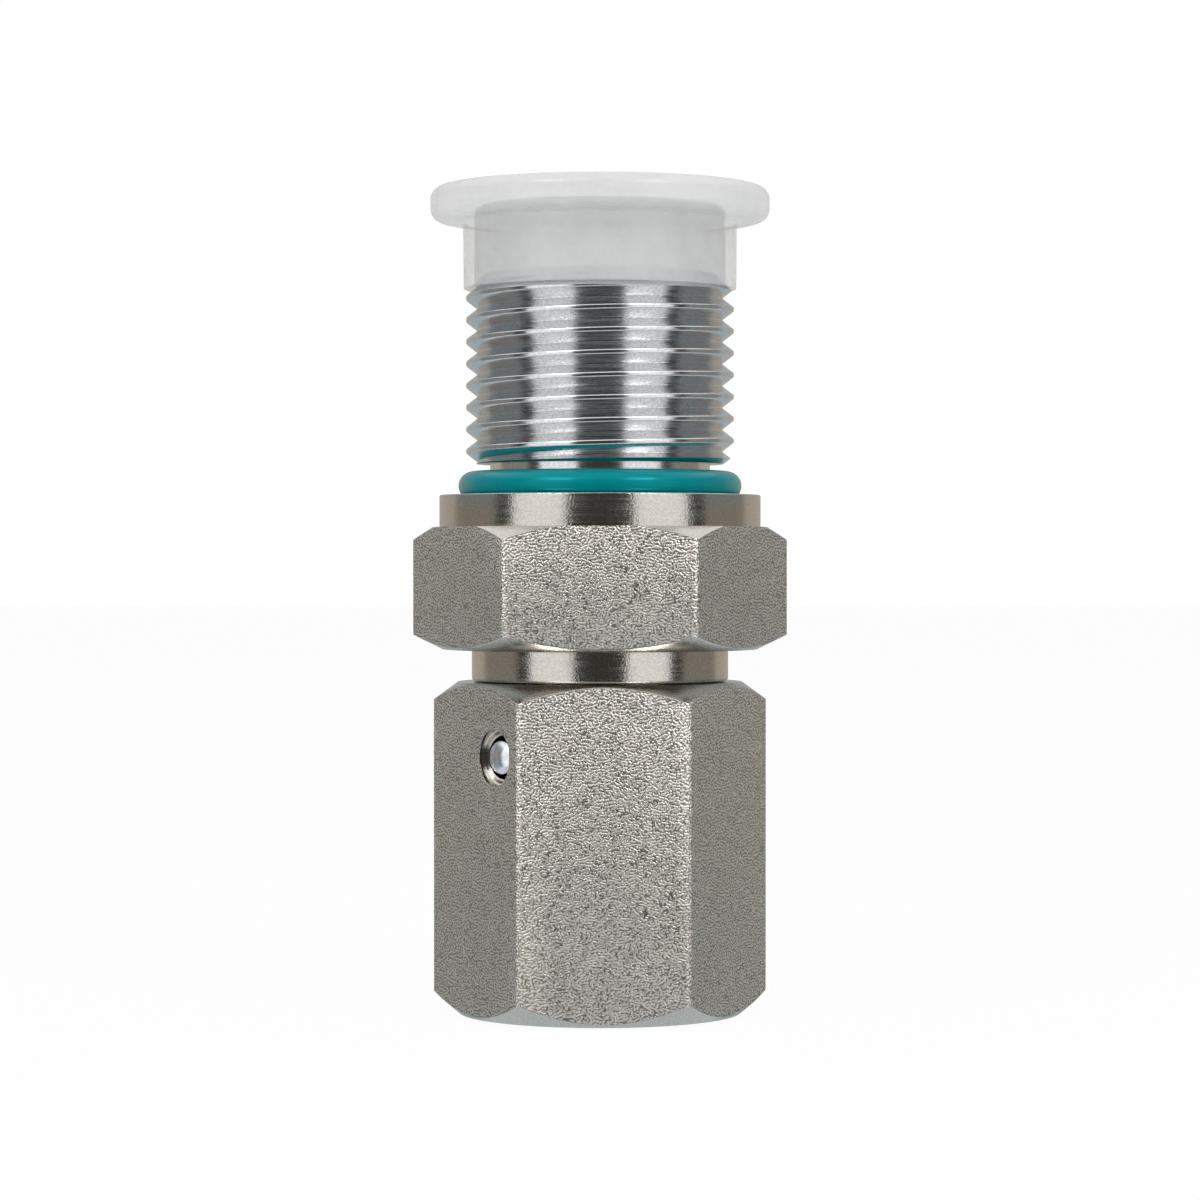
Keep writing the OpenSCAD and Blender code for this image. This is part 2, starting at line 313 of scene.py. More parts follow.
@dataclass(frozen=True)
class Thread:
    """A right-hand helical thread. All sizes are in millimetres."""

    crest_r: float
    root_r: float
    pitch: float
    crest_flat: float
    root_flat: float
    low_z: float
    high_z: float
    crest_z: float
    crest_round: float

    def profile(self) -> list[Point]:
        """One turn of the thread's side, from the middle of one root to the next.

        Returns:
            Radius and height of each point.
        """
        half_root = self.root_flat / 2
        half_crest = self.crest_flat / 2
        middle = self.pitch / 2
        flank = math.atan2(self.crest_r - self.root_r, middle - half_root - half_crest)
        points = [(self.root_r, 0.0), (self.root_r, half_root)]
        points += self._corner((self.crest_r, middle - half_crest), flank, self.crest_round, True)
        points += self._corner((self.crest_r, middle + half_crest), flank, self.crest_round, False)
        return points + [(self.root_r, self.pitch - half_root), (self.root_r, self.pitch)]

    @staticmethod
    def _corner(corner: Point, flank: float, size: float, rising: bool) -> list[Point]:
        """Rounds one edge of the crest.

        Args:
            corner: The sharp corner.
            flank: The flank's lean, in radians from upright.
            size: Length taken off each side of the corner.
            rising: Whether the flank comes before the crest.

        Returns:
            The points of the rounded corner, in order.
        """
        sign = -1 if rising else 1
        on_flank = (corner[0] - size * math.sin(flank), corner[1] + sign * size * math.cos(flank))
        on_crest = (corner[0], corner[1] - sign * size)
        steps = 4
        points = []
        for t in (i / steps for i in range(steps + 1)):
            ends = zip(on_flank, on_crest, corner)
            points.append(tuple((1 - t) ** 2 * a + 2 * t * (1 - t) * c + t**2 * b for a, b, c in ends))
        return points if rising else points[::-1]

    def rod(self, name: str, steps: int = TURN_STEPS) -> bpy.types.Object:
        """Makes a closed threaded rod between the two heights.

        Args:
            name: Name of the new object.
            steps: Faces round one turn.

        Returns:
            The rod.
        """
        # At the left, half a turn from where the sweep starts, a crest lies at crest_z
        offset = self.crest_z - self.pitch
        start = offset - self.pitch * math.ceil((offset - self.low_z) / self.pitch + 1)
        turns = math.ceil((self.high_z - start) / self.pitch) + 1
        points = [(radius, start + height) for radius, height in self.profile()]
        piece = Bench.outline(name, points)
        Bench.sweep(piece, steps, self.pitch, turns)
        Bench.slice_level(piece, self.low_z, keep_above=True)
        Bench.slice_level(piece, self.high_z, keep_above=False)
        Bench.tidy(piece)
        return piece


class Signal:
    """A shader socket that takes part in arithmetic."""

    def __init__(self, kit: "ShaderKit", socket: bpy.types.NodeSocket) -> None:
        """Wraps an output socket of a tree."""
        self.kit = kit
        self.socket = socket

    def _math(self, operation: str, first: "Signal | float", second: "Signal | float") -> "Signal":
        """Adds one Math node.

        Args:
            operation: The node's operation.
            first: Its first value.
            second: Its second value.

        Returns:
            The node's result.
        """
        return self.kit.node("ShaderNodeMath", {"operation": operation}, {0: first, 1: second})

    def __add__(self, other: "Signal | float") -> "Signal":
        """Sum."""
        return self._math("ADD", self, other)

    __radd__ = __add__

    def __sub__(self, other: "Signal | float") -> "Signal":
        """Difference."""
        return self._math("SUBTRACT", self, other)

    def __rsub__(self, other: float) -> "Signal":
        """Difference from a number."""
        return self._math("SUBTRACT", other, self)

    def __mul__(self, other: "Signal | float") -> "Signal":
        """Product."""
        return self._math("MULTIPLY", self, other)

    __rmul__ = __mul__


class ShaderKit:
    """Builds the nodes of one material or world."""

    def __init__(self, tree: bpy.types.NodeTree) -> None:
        """Starts from an empty tree."""
        self.tree = tree
        tree.nodes.clear()

    def node(
        self, kind: str, settings: dict[str, object], inputs: dict[int | str, object], output: int | str = 0
    ) -> Signal:
        """Adds a node, sets it, and feeds its sockets.

        Args:
            kind: The node's type.
            settings: Properties that are set first.
            inputs: A value or a signal for each socket, by name or number.
            output: The socket that is returned.

        Returns:
            The chosen output.
        """
        made = self.tree.nodes.new(kind)
        for key, value in settings.items():
            setattr(made, key, value)
        for key, value in inputs.items():
            if isinstance(value, Signal):
                self.tree.links.new(value.socket, made.inputs[key])
            else:
                made.inputs[key].default_value = value
        return Signal(self, made.outputs[output] if made.outputs else None)

    def place(self, stretch: tuple[float, float, float] = (1, 1, 1)) -> Signal:
        """The point on the piece, with each axis stretched.

        Args:
            stretch: Factor along each axis.

        Returns:
            The stretched object coordinates.
        """
        point = self.node("ShaderNodeTexCoord", {}, {}, "Object")
        return self.node("ShaderNodeMapping", {}, {"Vector": point, "Scale": stretch})

    def grain(self, place: Signal, size_mm: float, detail: float = 2.0, distortion: float = 0.0) -> Signal:
        """Noise from nought to one.

        Args:
            place: Where it is read.
            size_mm: Size of one grain.
            detail: Finer layers.
            distortion: How far it is twisted.

        Returns:
            The noise value.
        """
        inputs = {"Vector": place, "Scale": 1 / (size_mm * MM), "Detail": detail, "Distortion": distortion}
        return self.node("ShaderNodeTexNoise", {}, inputs, "Fac")

    def worms(self, place: Signal, width_mm: float) -> Signal:
        """Short winding ridges of one width, from nought to one.

        Args:
            place: Where it is read.
            width_mm: Distance from one ridge to the next.

        Returns:
            The height.
        """
        inputs = {"Vector": place, "Scale": 0.5 / (width_mm * MM), "Frequency": 2.0, "Anisotropy": 0.0}
        phase = self.node("ShaderNodeTexGabor", {"gabor_type": "3D"}, inputs, "Phase")
        swing = self.node("ShaderNodeMath", {"operation": "COSINE"}, {0: phase * math.tau})
        return swing * 0.5 + 0.5

    def spread(self, value: Signal, low: float, high: float, to_low: float, to_high: float) -> Signal:
        """Maps one stretch of values smoothly onto another.

        Args:
            value: The value to map.
            low: Start of its stretch.
            high: End of its stretch.
            to_low: What the start becomes.
            to_high: What the end becomes.

        Returns:
            The mapped value.
        """
        settings = {"interpolation_type": "SMOOTHSTEP"}
        names = ("From Min", "From Max", "To Min", "To Max")
        inputs = {"Value": value, **dict(zip(names, (low, high, to_low, to_high)))}
        return self.node("ShaderNodeMapRange", settings, inputs)

    def rise(self, value: Signal, stretch: Stretch) -> Signal:
        """Climbs smoothly from nought to one over a stretch of values.

        Args:
            value: The value to follow.
            stretch: Where the climb starts and ends.

        Returns:
            The climb.
        """
        return self.spread(value, *stretch, 0.0, 1.0)

    def fall(self, value: Signal, stretch: Stretch) -> Signal:
        """Falls smoothly from one to nought over a stretch of values.

        Args:
            value: The value to follow.
            stretch: Where the fall starts and ends.

        Returns:
            The fall.
        """
        return self.spread(value, *stretch, 1.0, 0.0)

    def tint(self, factor: Signal, first: "Colour | Signal", second: Colour) -> Signal:
        """Blends two colours.

        Args:
            factor: Nought for the first colour, one for the second.
            first: The first colour, or a signal that gives it.
            second: The second colour.

        Returns:
            The blended colour.
        """
        start = first if isinstance(first, Signal) else (*first, 1)
        inputs = {0: factor, 6: start, 7: (*second, 1)}
        return self.node("ShaderNodeMix", {"data_type": "RGBA"}, inputs, 2)

    def bump(self, height: Signal, depth_mm: float, under: Signal | None = None) -> Signal:
        """Turns a height into a surface's lean.

        Args:
            height: Height from nought to one.
            depth_mm: What one stands for.
            under: A lean that this one is laid over.

        Returns:
            The normal.
        """
        inputs = {"Height": height, "Distance": depth_mm * MM, "Strength": 1.0}
        if under:
            inputs["Normal"] = under
        return self.node("ShaderNodeBump", {}, inputs)

    def surface(self, inputs: dict[int | str, object]) -> None:
        """Ends a material with one principled surface."""
        shader = self.node("ShaderNodeBsdfPrincipled", {}, inputs)
        self.node("ShaderNodeOutputMaterial", {}, {"Surface": shader})


@dataclass(frozen=True)
class Finish:
    """What every finish has."""

    name: str
    colour: Colour
    roughness: float

    def shade(self, share: float) -> Colour:
        """The finish's colour, darkened.

        Args:
            share: What is left of its brightness.

        Returns:
            The darker colour.
        """
        return tuple(share * c for c in self.colour)

    def material(self) -> bpy.types.Material:
        """Makes the material.

        Returns:
            The material.
        """
        made = bpy.data.materials.new(self.name)
        made.use_nodes = True
        self.build(ShaderKit(made.node_tree))
        return made

    def build(self, kit: ShaderKit) -> None:
        """Fills the material's tree."""
        raise NotImplementedError


@dataclass(frozen=True)
class PeenedSteel(Finish):
    """Bar stock with a coarse wrinkled skin, as on the flats of both hexagons, with painted shade in the
    valleys of the wrinkles.
    """

    wrinkle_mm: float = 0.25
    squeeze: float = 1.05
    depth_mm: float = 0.033
    fine_share: float = 0.42
    fine_height: float = 0.25
    cloud_mm: float = 1.7
    # Share of the colour left in the valleys of the wrinkles, which is painted shade
    valley_painted_shade: float = 0.44
    slope: Stretch = (0.1, 0.8)
    middle: Stretch = (0.35, 0.65)

    def build(self, kit: ShaderKit) -> None:
        """Fills the material's tree."""
        wrinkle = kit.worms(kit.place((1.0, 1.0, self.squeeze)), self.wrinkle_mm)
        fine = kit.grain(kit.place(), self.wrinkle_mm * self.fine_share, 1.0)
        cloud = kit.grain(kit.place(), self.cloud_mm, 2.0)
        height = wrinkle + fine * self.fine_height
        # Painted shade: the valleys of the wrinkles are darkened in the base colour, and the ridges keep the
        # full colour
        ridge = kit.rise(wrinkle, self.slope)
        kit.surface(
            {
                "Base Color": kit.tint(ridge, self.shade(self.valley_painted_shade), self.colour),
                "Metallic": 1.0,
                "Roughness": kit.spread(cloud, *self.middle, self.roughness - 0.03, self.roughness + 0.05),
                "Normal": kit.bump(height, self.depth_mm),
            }
        )


@dataclass(frozen=True)
class TurnedSteel(Finish):
    """Steel from the lathe, with fine rings round the axis."""

    ring_mm: float = 0.11
    depth_mm: float = 0.003
    speckle_mm: float = 0.2
    speckle_depth_mm: float = 0.01
    ring_stretch: float = 0.02
    speckle_squeeze: float = 1.4
    speckle_shade: float = 0.86
    speckle_edge: Stretch = (0.35, 0.65)
    ring_edge: Stretch = (0.3, 0.7)

    def build(self, kit: ShaderKit) -> None:
        """Fills the material's tree."""
        rings = kit.grain(kit.place((self.ring_stretch, self.ring_stretch, 1.0)), self.ring_mm, 2.0)
        speckle = kit.grain(kit.place((1.0, 1.0, self.speckle_squeeze)), self.speckle_mm, 1.0)
        lean = kit.bump(speckle, self.speckle_depth_mm, kit.bump(rings, self.depth_mm))
        patch = kit.rise(speckle, self.speckle_edge)
        kit.surface(
            {
                "Base Color": kit.tint(patch, self.shade(self.speckle_shade), self.colour),
                "Metallic": 1.0,
                "Roughness": kit.spread(rings, *self.ring_edge, self.roughness - 0.04, self.roughness + 0.05),
                "Normal": lean,
            }
        )


@dataclass(frozen=True)
class DrawnWire(Finish):
    """Bright hard-drawn wire."""

    cloud_mm: float = 0.7
    cloud_twist: float = 0.4
    cloud_edge: Stretch = (0.4, 0.62)
    cloud_shade: float = 0.8

    def build(self, kit: ShaderKit) -> None:
        """Fills the material's tree."""
        cloud = kit.grain(kit.place(), self.cloud_mm, 2.0, self.cloud_twist)
        patch = kit.rise(cloud, self.cloud_edge)
        kit.surface(
            {
                "Base Color": kit.tint(patch, self.shade(self.cloud_shade), self.colour),
                "Metallic": 1.0,
                "Roughness": self.roughness,
            }
        )


@dataclass(frozen=True)
class SealRubber(Finish):
    """Coloured rubber of the sealing rings."""

    haze_mm: float = 1.6
    haze_shade: float = 0.86
    haze_edge: Stretch = (0.3, 0.7)
    sheen: Colour = (0.1, 0.9, 1.0)

    def build(self, kit: ShaderKit) -> None:
        """Fills the material's tree."""
        haze = kit.grain(kit.place(), self.haze_mm, 2.0)
        kit.surface(
            {
                "Base Color": kit.tint(haze, self.shade(self.haze_shade), self.colour),
                "Roughness": kit.spread(haze, *self.haze_edge, self.roughness - 0.05, self.roughness + 0.05),
                "Specular IOR Level": 0.5,
                "Specular Tint": (*self.sheen, 1.0),
            }
        )


@dataclass(frozen=True)
class MilkyPlastic(Finish):
    """Soft milky plastic, each face of a wall letting part of the light straight through."""

    body: float = 0.44
    cloud_mm: float = 3.5
    cloud_shade: float = 0.96
    cloud_edge: Stretch = (0.3, 0.7)

    def build(self, kit: ShaderKit) -> None:
        """Fills the material's tree."""
        cloud = kit.grain(kit.place(), self.cloud_mm, 3.0)
        rough = kit.spread(cloud, *self.cloud_edge, self.roughness - 0.03, self.roughness + 0.03)
        kit.surface(
            {
                "Base Color": kit.tint(cloud, self.shade(self.cloud_shade), self.colour),
                "Roughness": rough,
                "IOR": 1.5,
                "Alpha": kit.spread(cloud, *self.cloud_edge, self.body - 0.05, self.body + 0.05),
            }
        )


TURNED_STEEL = TurnedSteel("turned_steel", colour=(0.66, 0.625, 0.58), roughness=0.17)
THREAD_STEEL = TurnedSteel(
    "thread_steel", colour=(0.76, 0.77, 0.78), roughness=0.17, depth_mm=0.0004, speckle_depth_mm=0.001
)
PEENED_STEEL = PeenedSteel("peened_steel", colour=(0.87, 0.815, 0.74), roughness=0.38)
SEAL_RUBBER = SealRubber("seal_rubber", colour=(0.0, 0.235, 0.26), roughness=0.22)
MILKY_PLASTIC = MilkyPlastic("milky_plastic", colour=(0.75, 0.755, 0.76), roughness=0.2)
DRAWN_WIRE = DrawnWire("drawn_wire", colour=(0.9, 0.94, 0.98), roughness=0.26)


@dataclass(frozen=True)
class TurnedHexagon:
    """A hexagon whose ends are bevelled and whose corners are trimmed on a lathe."""

    across_flats: float
    low_z: float
    length: float
    corner_trim: float
    low_rim_r: float
    low_angle: float
    top_rim_r: float
    top_angle: float
    turn: float = 0.0
    edge_break: float = 0.05

    def build(self, name: str) -> bpy.types.Object:
        """Makes the hexagon.

        Args:
            name: Name of the new object.

        Returns:
            The hexagon.
        """
        high_z = self.low_z + self.length
        corner_r = self.across_flats / math.sqrt(3)
        trimmed_r = corner_r - self.corner_trim
        bpy.ops.object.select_all(action="DESELECT")
        bpy.ops.mesh.primitive_cylinder_add(
            vertices=6,
            radius=corner_r * MM,
            depth=(self.length + 2) * MM,
            location=(0, 0, (self.low_z + self.length / 2) * MM),
            rotation=(0, 0, math.radians(30 + self.turn)),
        )
        bar = bpy.context.object
        bar.name = name
        Bench.settle(bar)
        low_rise = (trimmed_r - self.low_rim_r) * math.tan(math.radians(self.low_angle))
        top_drop = (trimmed_r - self.top_rim_r) * math.tan(math.radians(self.top_angle))
        envelope = Bench.turned(
            name + "_envelope",
            [
                (0, self.low_z),
                (self.low_rim_r, self.low_z),
                (trimmed_r, self.low_z + low_rise),
                (trimmed_r, high_z - top_drop),
                (self.top_rim_r, high_z),
                (0, high_z),
            ],
            360,
        )
        Bench.work(bar, envelope, Cut.KEEP_COMMON)
        return bar

    def on_flat(self, middle: Vector, normal: Vector) -> bool:
        """Whether a face lies on one of the six flats or their corners.

        Args:
            middle: The face's middle.
            normal: The face's normal.

        Returns:
            True on a flat or a corner.
        """
        inside = self.low_z < middle.z < self.low_z + self.length
        reach = middle.x * normal.x + middle.y * normal.y
        return inside and abs(normal.z) < FLAT_SLACK and reach > self.across_flats / 2 - FLAT_SLACK


@dataclass(frozen=True)
class StudBody:
    """The one turned piece from the stud's end down to the cone nose."""

    nose_tip_z: float = 8.0142
    nose_tip_r: float = 6.0
    tip_bevel: float = 0.15
    tip_flare: float = 0.03
    nose_base_r: float = 7.7642
    nose_base_z: float = 16.3142
    nose_groove_r: float = 5.3177
    nose_groove_z: float = 11.0142
    nose_groove_half: float = 1.0
    spigot_r: float = 8.75
    spigot_z: float = 17.3
    wire_z: float = 21.5
    wire_groove_r: float = 1.58
    neck_z: float = 27.45
    neck_r: float = 10.635
    neck_bevel: float = 0.3
    collar_z: float = 40.2
    collar_root_drop: float = 0.4
    collar_rim_drop: float = 0.3
    collar_r: float = 13.315
    collar_edge: float = 0.12
    face_z: float = 42.85
    seat_r: float = 11.8
    seat_floor_r: float = 11.25
    seat_depth: float = 0.5
    undercut_r: float = 9.12
    thread_z: float = 45.43
    thread_overlap: float = 0.6
    thread_lead_step: float = 0.08
    lead_z: float = 59.56
    end_z: float = 61.11
    crest_r: float = 11.1
    root_r: float = 10.163
    pitch: float = 1.814
    crest_z: float = 46.46
    crest_flat: float = 0.3
    crest_round: float = 0.09
    root_flat: float = 0.05
    bore_r: float = 4.0
    bore_bevel: float = 0.4
    hexagon: TurnedHexagon = TurnedHexagon(
        across_flats=27.0,
        low_z=30.1,
        length=10.1,
        corner_trim=0.09,
        low_rim_r=13.05,
        low_angle=26.0,
        top_rim_r=13.89,
        top_angle=33.0,
    )

    def cone_r(self, height: float) -> float:
        """The cone's radius at a height.

        Args:
            height: The height.

        Returns:
            The radius.
        """
        share = (height - self.nose_tip_z) / (self.nose_base_z - self.nose_tip_z)
        return self.nose_tip_r + share * (self.nose_base_r - self.nose_tip_r)

    def core(self) -> bpy.types.Object:
        """Turns the nose, spigot, neck, collar and undercut.

        Returns:
            The turned solid.
        """
        groove_low = self.nose_groove_z - self.nose_groove_half
        groove_high = self.nose_groove_z + self.nose_groove_half
        points = [
            (0, self.nose_tip_z),
            (self.nose_tip_r - self.tip_bevel, self.nose_tip_z),
            (self.nose_tip_r + self.tip_flare, self.nose_tip_z + self.tip_bevel),
            (self.cone_r(groove_low), groove_low),
            (self.nose_groove_r, groove_low),
            (self.nose_groove_r, groove_high),
            (self.cone_r(groove_high), groove_high),
            (self.nose_base_r, self.nose_base_z),
            (self.spigot_r, self.spigot_z),
        ]
        points += arc((self.spigot_r, self.wire_z), self.wire_groove_r, 270, 90, 16)
        points += [
            (self.spigot_r, self.neck_z),
            *arc((self.neck_r - self.neck_bevel, self.neck_z + self.neck_bevel), self.neck_bevel, -90, 0),
            (self.neck_r, self.hexagon.low_z + 1),
            (self.neck_r, self.collar_z - self.collar_root_drop),
            (self.collar_r, self.collar_z - self.collar_rim_drop),
        ]
        edge = self.collar_edge
        points += arc((self.collar_r - edge, self.face_z - edge), edge, 0, 90, 3)
        points += [
            (self.seat_r, self.face_z),
            (self.seat_floor_r, self.face_z - self.seat_depth),
            (self.undercut_r, self.face_z - self.seat_depth),
            (self.undercut_r, self.thread_z + self.thread_overlap),
            (0, self.thread_z + self.thread_overlap),
        ]
        return Bench.turned("stud_turned", points)

    def threaded_end(self) -> bpy.types.Object:
        """Cuts the helical thread and its bevelled ends.

        Returns:
            The threaded rod.
        """
        thread = Thread(
            crest_r=self.crest_r,
            root_r=self.root_r,
            pitch=self.pitch,
            crest_flat=self.crest_flat,
            root_flat=self.root_flat,
            low_z=self.thread_z - 0.5,
            high_z=self.end_z + 0.5,
            crest_z=self.crest_z,
            crest_round=self.crest_round,
        )
        rod = thread.rod("stud_thread")
        margin = 0.3
        wide_r = self.crest_r + margin
        lead_r = self.root_r + self.thread_lead_step
        flank_height = (self.pitch - self.crest_flat - self.root_flat) / 2
        low_slope = flank_height / (self.crest_r - self.root_r)
        envelope = Bench.turned(
            "stud_thread_envelope",
            [
                (0, self.thread_z),
                (lead_r, self.thread_z),
                (wide_r, self.thread_z + (wide_r - lead_r) * low_slope),
                (wide_r, self.lead_z - margin),
                (self.crest_r - (self.end_z - self.lead_z), self.end_z),
                (0, self.end_z),
            ],
        )
        Bench.work(rod, envelope, Cut.KEEP_COMMON)
        return rod

    def flow_bore(self) -> bpy.types.Object:
        """Turns the drill that opens the bore and bevels its mouths.

        Returns:
            The drill.
        """
        wide = self.bore_r + self.bore_bevel
        return Bench.turned(
            "flow_bore",
            [
                (0, self.nose_tip_z - 1),
                (wide, self.nose_tip_z - 1),
                (wide, self.nose_tip_z),
                (self.bore_r, self.nose_tip_z + self.bore_bevel),
                (self.bore_r, self.end_z - self.bore_bevel),
                (wide, self.end_z),
                (wide, self.end_z + 1),
                (0, self.end_z + 1),
            ],
            96,
        )

    def build(
        self, turned: bpy.types.Material, peened: bpy.types.Material, thread: bpy.types.Material
    ) -> None:
        """Models the stud and hides its plain solid.

        Args:
            turned: Finish of the turned faces.
            peened: Finish of the hexagon's flats.
            thread: Finish of the thread and the undercut.
        """
        piece = self.core()
        Bench.work(piece, self.hexagon.build("stud_hexagon"), Cut.ADD)
        Bench.work(piece, self.threaded_end(), Cut.ADD)
        Bench.work(piece, self.flow_bore(), Cut.REMOVE)
        Bench.break_rims(piece, self.hexagon.edge_break, self.hexagon.on_flat)
        piece.name = "turned_stud"

        def choose(middle: Vector, normal: Vector) -> int:
            """The slot of one face."""
            if self.hexagon.on_flat(middle, normal):
                return 1
            return 2 if middle.z > self.face_z + 0.1 else 0

        Bench.dress(piece, [turned, peened, thread], choose)
        Bench.smooth(piece)
        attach(piece, "stud")
        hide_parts("stud_body")
        LOG.info("turned_stud: %d faces", len(piece.data.polygons))


@dataclass(frozen=True)
class SwivelNut:
    """The long hexagon nut that turns on the spigot."""

    bore_r: float = 8.8
    relief_r: float = 10.15
    relief_z: float = 14.5
    relief_edge: float = 0.2
    shoulder_z: float = 17.0
    minor_r: float = 9.188
    major_r: float = 10.0
    pitch: float = 1.5
    mouth_r: float = 10.25
    mouth_depth: float = 1.062
    wire_z: float = 21.5
    wire_ring_r: float = 8.75
    wire_groove_r: float = 1.38
    feed_angle: float = -133.3
    feed_r: float = 1.8
    recess_r: float = 2.3
    recess_x: float = 11.335
    recess_edge: float = 0.12
    drill_edge: float = 0.1
    hexagon: TurnedHexagon = TurnedHexagon(
        across_flats=24.0,
        low_z=0.0,
        length=27.4,
        corner_trim=0.08,
        low_rim_r=11.7,
        low_angle=40.0,
        top_rim_r=11.79,
        top_angle=36.0,
        turn=1.5,
    )

    def inside(self) -> bpy.types.Object:
        """Turns the solid of all that is bored out of the nut, without its thread.

        Returns:
            The solid.
        """
        lean = math.degrees(math.asin((self.bore_r - self.wire_ring_r) / self.wire_groove_r))
        points = [
            (0, -1),
            (self.mouth_r, -1),
            (self.mouth_r, 0),
            (self.minor_r, self.mouth_depth),
            (self.minor_r, self.relief_z),
            (self.relief_r, self.relief_z),
            (self.relief_r, self.shoulder_z - self.relief_edge),
            (self.relief_r - self.relief_edge, self.shoulder_z),
            (self.bore_r, self.shoulder_z),
        ]
        points += arc((self.wire_ring_r, self.wire_z), self.wire_groove_r, lean - 90, 90 - lean, 16)
        points += [
            (self.bore_r, self.hexagon.length - 0.15),
            (self.bore_r + 0.25, self.hexagon.length + 0.1),
            (self.bore_r + 0.25, self.hexagon.length + 1),
            (0, self.hexagon.length + 1),
        ]
        return Bench.turned("nut_inside", points)

    def thread_tap(self) -> bpy.types.Object:
        """Makes the tap that cuts the helical thread.

        Returns:
            The tap, whose roots lie a little inside the bore.
        """
        sunk = 0.1
        crest_flat = self.pitch / 8
        bore_flat = self.pitch / 4
        slope = (self.pitch - crest_flat - bore_flat) / 2 / (self.major_r - self.minor_r)
        thread = Thread(
            crest_r=self.major_r,
            root_r=self.minor_r - sunk,
            pitch=self.pitch,
            crest_flat=crest_flat,
            root_flat=bore_flat - 2 * sunk * slope,
            low_z=-0.5,
            high_z=self.relief_z + 0.3,
            crest_z=1.2,
            crest_round=0.04,
        )
        return thread.rod("nut_tap", 128)

    def feed_drill(self) -> bpy.types.Object:
        """Turns the stepped drill of the wire's feed hole and lays it along the hole.

        Returns:
            The drill.
        """
        start, corner = self.wire_ring_r, self.recess_x
        drill = Bench.turned(
            "feed_drill",
            [
                (0, start),
                (self.feed_r, start),
                (self.feed_r, corner - self.drill_edge),
                (self.feed_r + self.recess_edge, corner),
                (self.recess_r - self.recess_edge, corner),
                (self.recess_r, corner + self.recess_edge),
                (self.recess_r, corner + 3),
                (0, corner + 3),
            ],
            96,
        )
        drill.rotation_euler = (0, math.pi / 2, math.radians(self.feed_angle))
        drill.location = (0, 0, self.wire_z * MM)
        Bench.settle(drill)
        return drill

    def build(self, turned: bpy.types.Material, peened: bpy.types.Material) -> None:
        """Models the nut and hides its plain solid.

        Args:
            turned: Finish of the turned faces.
            peened: Finish of the flats.
        """
        piece = self.hexagon.build("nut")
        for tool in (self.inside(), self.thread_tap(), self.feed_drill()):
            Bench.work(piece, tool, Cut.REMOVE)
        Bench.break_rims(piece, self.hexagon.edge_break, self.hexagon.on_flat)
        piece.name = "swivel_nut_hexagon"
        Bench.dress(piece, [turned, peened], lambda m, n: int(self.hexagon.on_flat(m, n)))
        Bench.smooth(piece)
        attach(piece, "nut")
        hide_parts("swivel_nut")
        LOG.info("swivel_nut_hexagon: %d faces", len(piece.data.polygons))


@dataclass(frozen=True)
class WireEnd:
    """The wire's turned and crowned end, laid over the plain one that is seen in the feed hole."""

    wire_r: float = 1.333
    crown_r: float = 2.203
    start_x: float = 10.2
    stand_off: float = 0.003

    def build(self, nut: SwivelNut, plain: bpy.types.Object, finish: bpy.types.Material) -> None:
        """Turns the end and lays it along the feed hole.

        Args:
            nut: The nut whose feed hole it lies in.
            plain: The plain wire, which tells how far its crown reaches.
            finish: Finish of the wire.
        """
        turn = math.radians(nut.feed_angle)
        along = Vector((math.cos(turn), math.sin(turn), 0))
        top = max(vertex.co.dot(along) for vertex in plain.data.vertices) / MM + self.stand_off
        rim = math.degrees(math.acos(self.wire_r / self.crown_r))
        crown = arc((0, top - self.crown_r), self.crown_r, rim, 90, 10)[:-1]
        points = [(0, self.start_x), (self.wire_r, self.start_x), *crown, (0, top)]
        piece = Bench.turned("wire_end", points, 64)
        piece.rotation_euler = (0, math.pi / 2, turn)
        piece.location = (0, 0, nut.wire_z * MM)
        Bench.settle(piece)
        Bench.dress(piece, [finish])
        Bench.smooth(piece)
        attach(piece, "nut")


@dataclass(frozen=True)
class ProtectiveCap:
    """The push-on plastic cap over the stud's end."""

    top_z: float = 68.34
    flange_z: float = 65.51
    flange_r: float = 14.05
    edge_r: float = 1.0
    tube_root_r: float = 11.34
    tube_mouth_r: float = 11.3
    mouth_z: float = 59.91
    mouth_r: float = 10.83
    bore_r: float = 10.4
    roof_z: float = 66.74
    inner_round: float = 0.7
    outer_round: float = 0.25
    lip_round: float = 0.1
    lip_edge: float = 0.04

    def build(self, plastic: bpy.types.Material) -> None:
        """Models the cap and hides its plain solid.

        Args:
            plastic: Finish of the cap.
        """
        rim = self.flange_r - self.edge_r
        points = [(0, self.top_z)]
        points += arc((rim, self.top_z - self.edge_r), self.edge_r, 90, 0, 10)
        points += arc((rim, self.flange_z + self.edge_r), self.edge_r, 0, -90, 10)
        root = self.tube_root_r + self.outer_round
        points += arc((root, self.flange_z - self.outer_round), self.outer_round, 90, 180, 5)
        lip = self.lip_round
        points += arc((self.tube_mouth_r - lip, self.mouth_z + lip), lip, 0, -90, 3)
        points += [
            (self.mouth_r + self.lip_edge, self.mouth_z),
            (self.mouth_r, self.mouth_z + self.lip_edge),
            (self.bore_r, self.mouth_z + self.mouth_r - self.bore_r),
        ]
        inner = self.inner_round
        points += arc((self.bore_r - inner, self.roof_z - inner), inner, 0, 90, 6)
        points.append((0, self.roof_z))
        piece = Bench.turned("cap_shell", points)
        Bench.dress(piece, [plastic])
        Bench.smooth(piece)
        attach(piece, "cap")
        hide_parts("protective_cap")
        LOG.info("cap_shell: %d faces", len(piece.data.polygons))


@dataclass(frozen=True)
class Lamp:
    """A rectangular lamp, which hangs on both sides of the camera. Its size is in metres."""

    name: str
    turn: float
    rise: float
    size: tuple[float, float]
    power: float
    mirrored: bool


